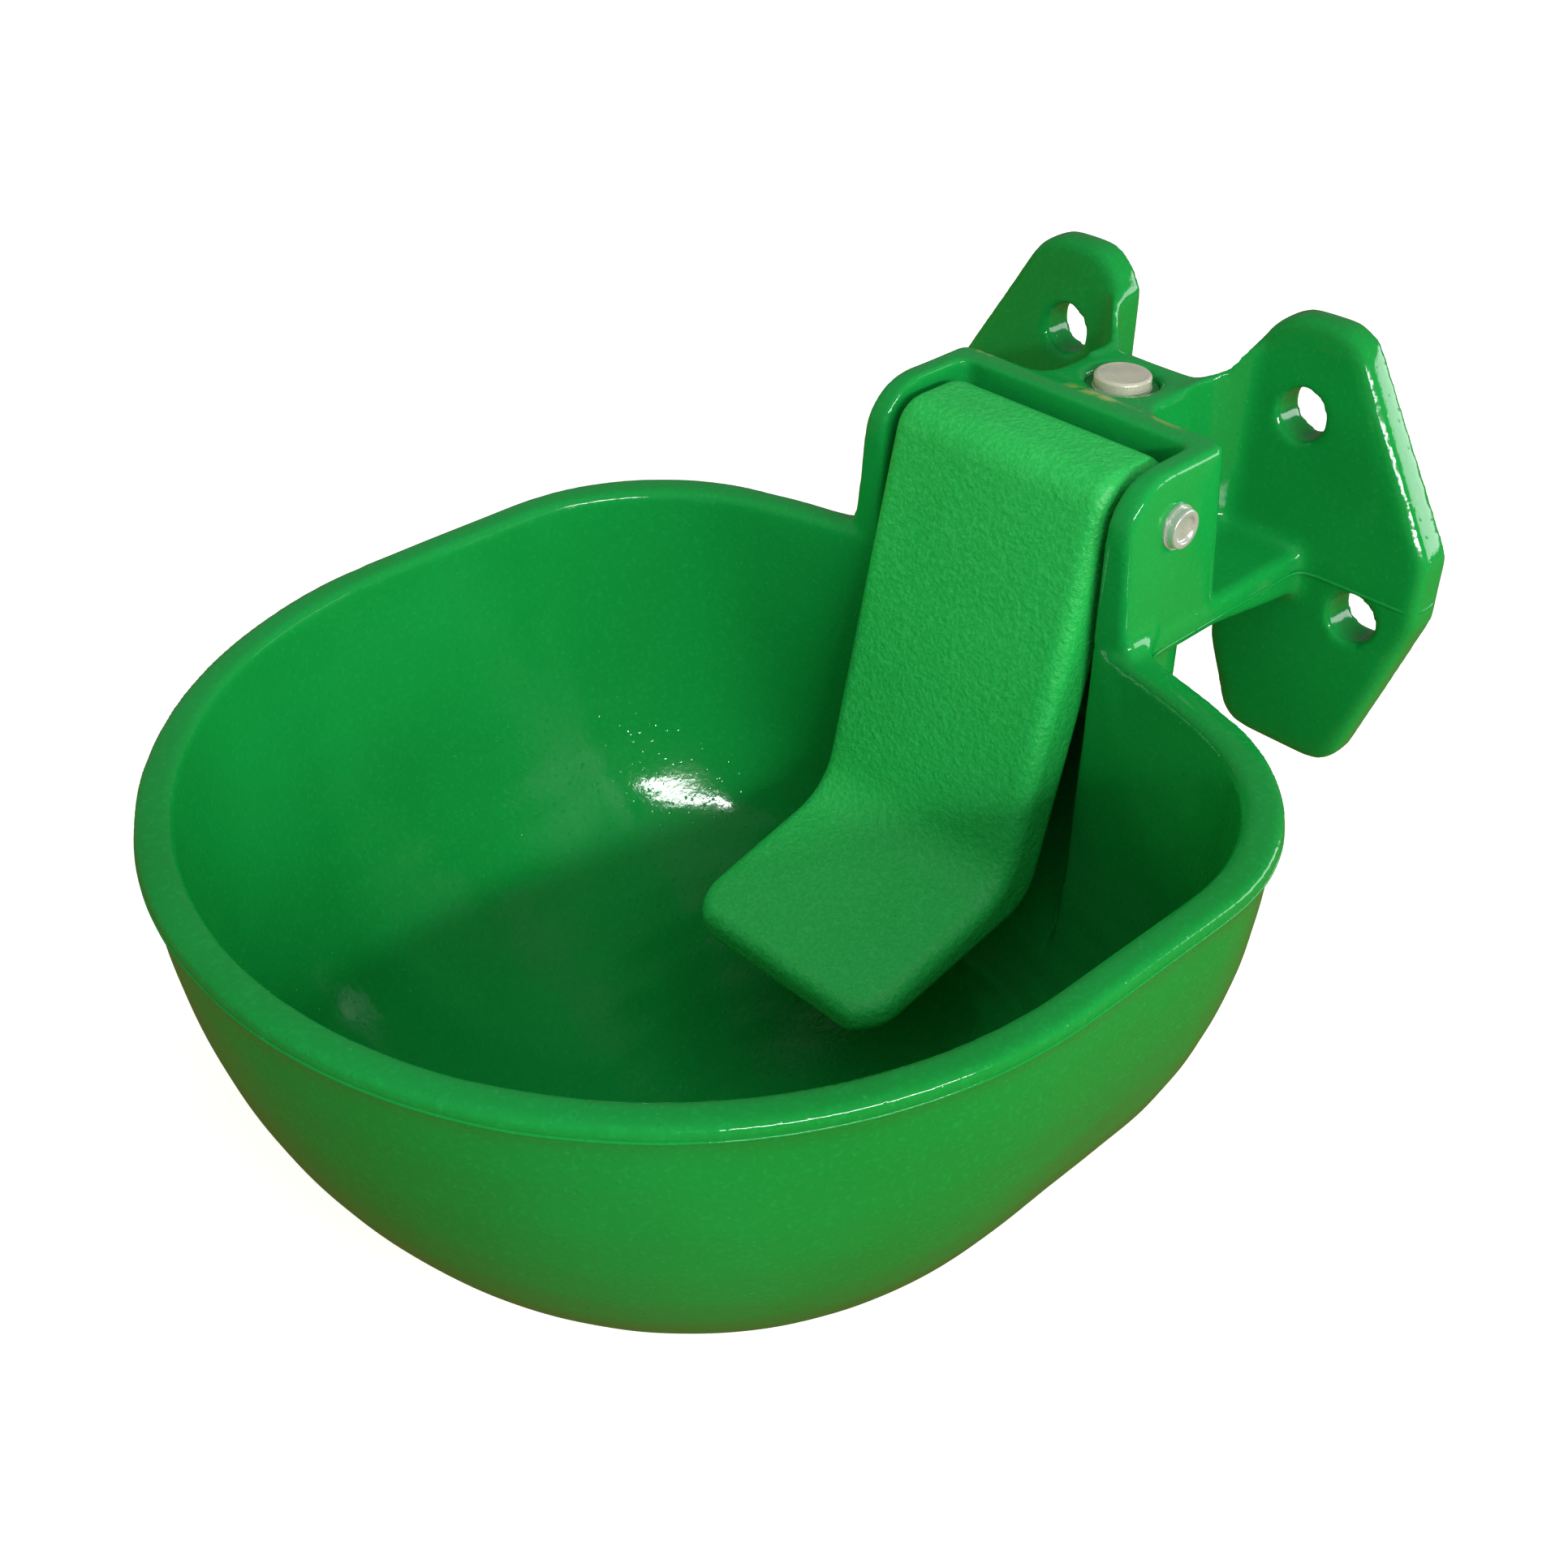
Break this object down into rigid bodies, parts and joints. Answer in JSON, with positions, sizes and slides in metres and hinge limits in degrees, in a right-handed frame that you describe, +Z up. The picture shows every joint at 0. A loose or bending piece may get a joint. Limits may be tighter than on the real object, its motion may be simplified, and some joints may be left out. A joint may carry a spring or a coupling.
{
  "type": "livestock drinking bowl",
  "caption": "Round wall-hung drinking bowl in green enamelled cast iron: an animal presses the hinged tongue paddle to open a spring-closed water valve; threaded inlet and bolt flange.",
  "frame": {"origin": "on the wall plane, midway between the two upper bolt holes", "axes": "+Y into the wall, +Z up, +X to the side of the hinge pin's button; the bowl hangs towards -Y"},
  "size_m": [0.23, 0.297, 0.1982],
  "materials": {
    "green_enamel": "gloss enamel",
    "green_plastic": "satin, fine grain",
    "stainless_steel": "turned",
    "bright_steel": "polished",
    "brass": "turned",
    "rubber": "matt",
    "seat_plastic": "smooth"
  },
  "bodies": {
    "casting": {"bowl_casting": "green_enamel", "hinge_pin": "stainless_steel", "pin_washers": "stainless_steel", "pin_clip": "stainless_steel", "inlet_plug": "bright_steel", "plug_seal": "rubber", "valve_body": "brass", "valve_gasket": "rubber", "stem_guide": "brass", "guide_ring": "stainless_steel", "valve_seat": "seat_plastic", "spring_cage": "brass", "cage_strainer": "stainless_steel", "valve_spring": "stainless_steel"},
    "paddle": {"paddle": "green_plastic"},
    "valve_stem": {"valve_stem": "stainless_steel", "valve_disc": "rubber", "disc_carrier": "brass", "carrier_nut": "stainless_steel"}
  },
  "joints": [
    {"name": "paddle_hinge", "type": "hinge", "parent": "casting", "child": "paddle", "pos_m": [0, -0.064, -0.0089], "axis": [1, 0, 0], "range_deg": [0, 8]},
    {"name": "valve_slide", "type": "slide", "parent": "casting", "child": "valve_stem", "axis": [0, 1, 0], "range_m": [0, 0.004], "stiffness_N_per_m": 2000, "springref_m": -0.004, "deforming": ["valve_spring"]}
  ],
  "couplings": [
    {"joint": "valve_slide", "follows": "paddle_hinge", "m_per_rad": 0.0275}
  ]
}
